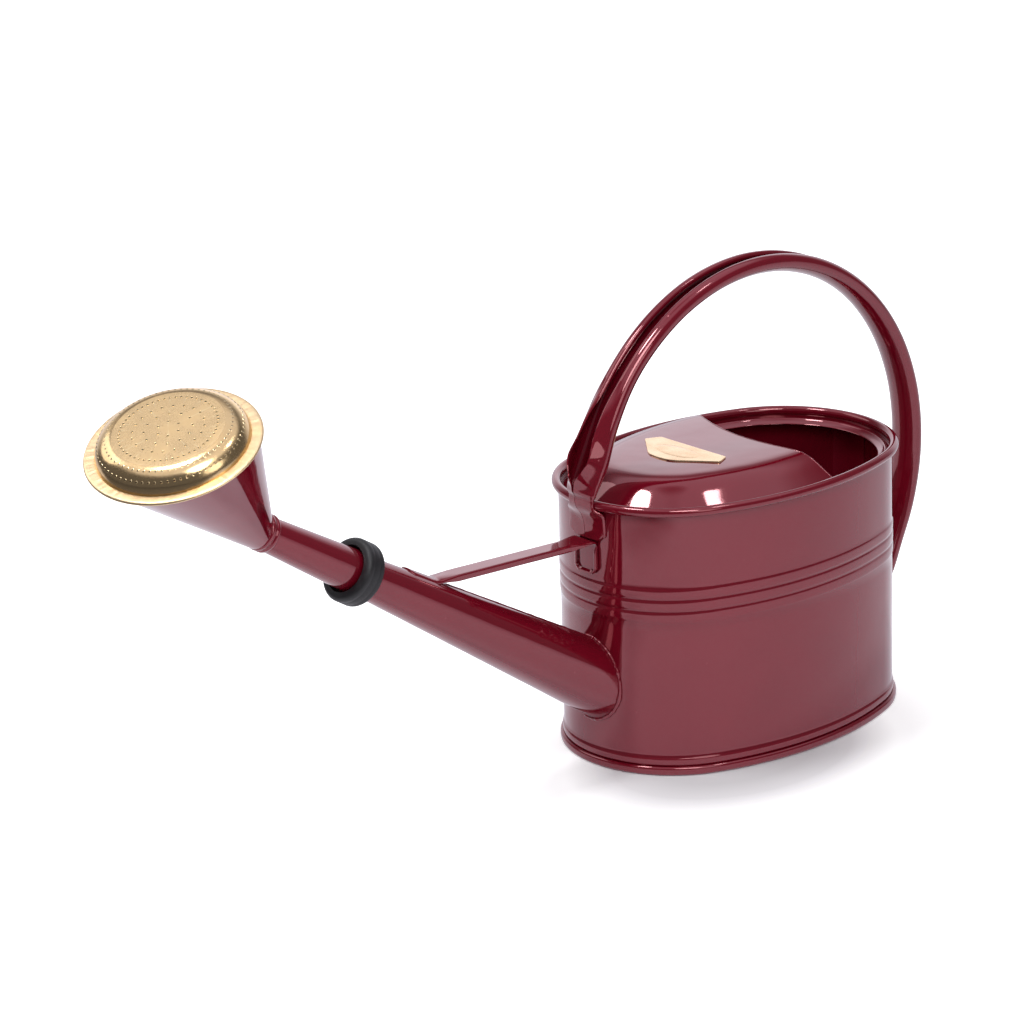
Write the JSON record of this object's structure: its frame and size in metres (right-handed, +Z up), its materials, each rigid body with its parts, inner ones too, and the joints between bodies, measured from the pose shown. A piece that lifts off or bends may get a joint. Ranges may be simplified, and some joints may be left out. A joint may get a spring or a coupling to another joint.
{
  "type": "watering can",
  "caption": "Oval sheet-metal watering can with a hoop handle, part-covered filling mouth, braced slanting spout and a turning, pull-off rose with a domed perforated brass face.",
  "frame": {"origin": "middle of the oval base, on the ground that the can stands on", "axes": "+X forwards along the spout, +Y to the can's left, +Z up"},
  "size_m": [0.6267, 0.1632, 0.2958],
  "materials": {
    "enamel": "glossy burgundy enamel",
    "brass": "satin brass",
    "rubber": "matte black",
    "wire": "plain drawn wire"
  },
  "bodies": {
    "can": {"body_wall": "enamel", "rim_wire": "wire", "base_plate": "enamel", "hood": "enamel", "mouth_ledge": "enamel", "name_plate": "brass", "handle": "enamel", "spout": "enamel", "spout_weld": "enamel", "brace": "enamel"},
    "ring": {"seal_ring": "rubber"},
    "rose": {"rose_stem": "enamel", "rose_collar": "enamel", "rose_cone": "enamel", "rose_face": "brass"}
  },
  "joints": [
    {"name": "rose_pull", "type": "slide", "parent": "can", "child": "ring", "axis": [0.8462, 0, 0.5329], "range_m": [0, 0.05]},
    {"name": "rose_turn", "type": "hinge", "parent": "ring", "child": "rose", "pos_m": [0.1155, 0, 0.0561], "axis": [0.8462, 0, 0.5329], "continuous": true}
  ]
}
